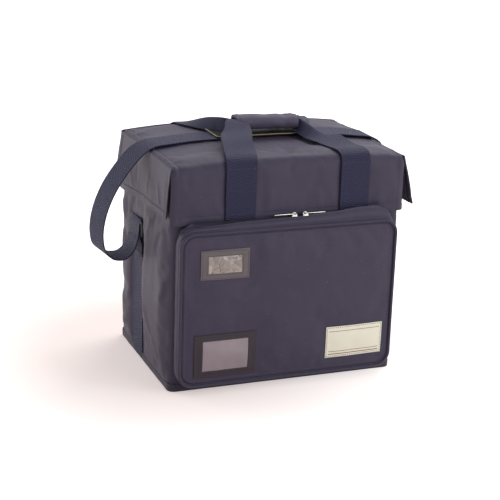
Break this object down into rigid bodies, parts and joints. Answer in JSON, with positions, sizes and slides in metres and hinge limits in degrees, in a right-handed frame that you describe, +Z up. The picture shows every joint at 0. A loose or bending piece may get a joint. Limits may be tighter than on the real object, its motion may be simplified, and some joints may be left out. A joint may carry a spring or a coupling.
{
  "type": "specimen transport box",
  "caption": "Soft insulated carrier with a hinged skirted lid, webbing handles joined by a grip wrap, a shoulder strap and a zipped front pocket with card windows.",
  "frame": {"origin": "middle of the base panel's underside, on the surface that the box stands on", "axes": "+Z up, -Y out of the front pocket, +X to the right as seen from the front"},
  "size_m": [0.4966, 0.2939, 0.394],
  "materials": {
    "shell_nylon": "woven navy nylon with a faint sheen",
    "binding_tape": "navy binding tape and piping",
    "insulation_foam": "closed-cell insulation foam, pale grey",
    "stiffener_board": "black polypropylene stiffener",
    "liner_cloth": "wipe-clean coated liner, light grey",
    "hook_loop": "hook and loop tape, navy black",
    "handle_webbing": "ribbed navy webbing",
    "strap_webbing": "ribbed navy webbing",
    "grip_padding": "padded navy nylon sleeve",
    "pad_vinyl": "black grained vinyl pad",
    "black_plastic": "moulded black plastic",
    "zip_coil": "nylon coil, navy black",
    "zip_metal": "nickel plated zinc",
    "window_vinyl_upper": "olive black vinyl, stitched",
    "window_vinyl_lower": "black vinyl, stitched",
    "clear_film": "clear flexible film",
    "label_vinyl": "cream vinyl, blank"
  },
  "bodies": {
    "root": {"back_foam": "insulation_foam", "base_binding": "binding_tape", "base_board": "stiffener_board", "base_foam": "insulation_foam", "base_panel": "shell_nylon", "closure_hook": "hook_loop", "front_foam": "insulation_foam", "front_handle_anchor_left": "handle_webbing", "front_handle_anchor_right": "handle_webbing", "inner_liner": "liner_cloth", "left_foam": "insulation_foam", "outer_cover": "shell_nylon", "pocket_gusset": "shell_nylon", "rear_flap": "shell_nylon", "rear_handle_anchor_left": "handle_webbing", "rear_handle_anchor_right": "handle_webbing", "right_foam": "insulation_foam", "rim_binding": "binding_tape", "side_webbing_left": "strap_webbing", "side_webbing_right": "strap_webbing", "strap_adjuster": "black_plastic", "strap_loop_left": "strap_webbing", "strap_loop_right": "strap_webbing", "zip_coil_rear": "zip_coil", "zip_tape_rear": "binding_tape"},
    "lid": {"lid_cover": "shell_nylon", "lid_foam": "insulation_foam", "lid_liner": "liner_cloth", "front_flap": "shell_nylon", "closure_loop": "hook_loop", "strap_top": "strap_webbing", "shoulder_pad": "pad_vinyl"},
    "left_flap": {"left_flap": "shell_nylon"},
    "right_flap": {"right_flap": "shell_nylon"},
    "front_handle_legs": {"front_handle_leg_left": "handle_webbing", "front_handle_leg_right": "handle_webbing"},
    "front_handle_grip": {"front_handle_loop": "handle_webbing", "grip_wrap": "grip_padding"},
    "rear_handle_legs": {"rear_handle_leg_left": "handle_webbing", "rear_handle_leg_right": "handle_webbing"},
    "rear_handle_grip": {"rear_handle_loop": "handle_webbing"},
    "pocket_panel": {"pocket_front_panel": "shell_nylon", "pocket_piping": "binding_tape", "zip_tape_front": "binding_tape", "zip_coil_front": "zip_coil", "upper_window_frame": "window_vinyl_upper", "upper_window_film": "clear_film", "lower_window_frame": "window_vinyl_lower", "lower_window_film": "clear_film", "label_patch": "label_vinyl"},
    "slider_left": {"slider_left": "zip_metal"},
    "slider_right": {"slider_right": "zip_metal"},
    "pull_left": {"pull_left": "zip_metal"},
    "pull_right": {"pull_right": "zip_metal"},
    "ring_left": {"ring_left": "black_plastic"},
    "ring_right": {"ring_right": "black_plastic"}
  },
  "joints": [
    {"name": "lid_hinge", "type": "hinge", "parent": "root", "child": "lid", "pos_m": [0, 0.1305, 0.356], "axis": [-1, 0, 0], "range_deg": [0, 110], "deforming": ["strap_loop_left", "strap_loop_right"]},
    {"name": "left_flap_fold", "type": "hinge", "parent": "lid", "child": "left_flap", "pos_m": [-0.1882, 0, 0.3541], "axis": [0, 1, 0], "range_deg": [0, 15]},
    {"name": "right_flap_fold", "type": "hinge", "parent": "lid", "child": "right_flap", "pos_m": [0.1882, 0, 0.3541], "axis": [0, -1, 0], "range_deg": [-12, 5]},
    {"name": "front_handle_swing", "type": "hinge", "parent": "root", "child": "front_handle_legs", "pos_m": [0, -0.1392, 0.272], "axis": [1, 0, 0], "range_deg": [0, 98], "deforming": ["front_handle_leg_left", "front_handle_leg_right"]},
    {"name": "front_handle_fold", "type": "hinge", "parent": "front_handle_legs", "child": "front_handle_grip", "pos_m": [0, -0.1392, 0.359], "axis": [1, 0, 0], "range_deg": [0, 142], "deforming": ["front_handle_loop"]},
    {"name": "rear_handle_swing", "type": "hinge", "parent": "root", "child": "rear_handle_legs", "pos_m": [0, 0.1353, 0.262], "axis": [-1, 0, 0], "range_deg": [0, 171], "deforming": ["rear_handle_leg_left", "rear_handle_leg_right"]},
    {"name": "rear_handle_fold", "type": "hinge", "parent": "rear_handle_legs", "child": "rear_handle_grip", "pos_m": [0, 0.1353, 0.359], "axis": [-1, 0, 0], "range_deg": [0, 81], "deforming": ["rear_handle_loop"]},
    {"name": "pocket_open", "type": "hinge", "parent": "root", "child": "pocket_panel", "pos_m": [0, -0.154, 0.014], "axis": [1, 0, 0], "range_deg": [0, 5]},
    {"name": "slider_left_run", "type": "slide", "parent": "root", "child": "slider_left", "axis": [-1, 0, 0], "range_m": [0, 0.115]},
    {"name": "slider_right_run", "type": "slide", "parent": "root", "child": "slider_right", "axis": [1, 0, 0], "range_m": [0, 0.115]},
    {"name": "pull_left_flip", "type": "hinge", "parent": "slider_left", "child": "pull_left", "pos_m": [0.002, -0.1442, 0.2732], "axis": [0, 1, 0], "range_deg": [0, 90]},
    {"name": "pull_right_flip", "type": "hinge", "parent": "slider_right", "child": "pull_right", "pos_m": [0.02, -0.1442, 0.2732], "axis": [0, -1, 0], "range_deg": [0, 90]},
    {"name": "ring_left_swing", "type": "hinge", "parent": "root", "child": "ring_left", "pos_m": [-0.18995, 0.032, 0.208], "axis": [0, -1, 0], "range_deg": [0, 70]},
    {"name": "ring_right_swing", "type": "hinge", "parent": "root", "child": "ring_right", "pos_m": [0.18995, 0.032, 0.208], "axis": [0, 1, 0], "range_deg": [0, 70]}
  ],
  "couplings": [
    {"joint": "front_handle_swing", "follows": "lid_hinge", "ratio": 0.89},
    {"joint": "front_handle_fold", "follows": "lid_hinge", "ratio": 1.29},
    {"joint": "rear_handle_swing", "follows": "lid_hinge", "ratio": 1.55},
    {"joint": "rear_handle_fold", "follows": "lid_hinge", "ratio": 0.735},
    {"joint": "slider_left_run", "follows": "pocket_open", "m_per_rad": 1.31},
    {"joint": "slider_right_run", "follows": "pocket_open", "m_per_rad": 1.31}
  ]
}
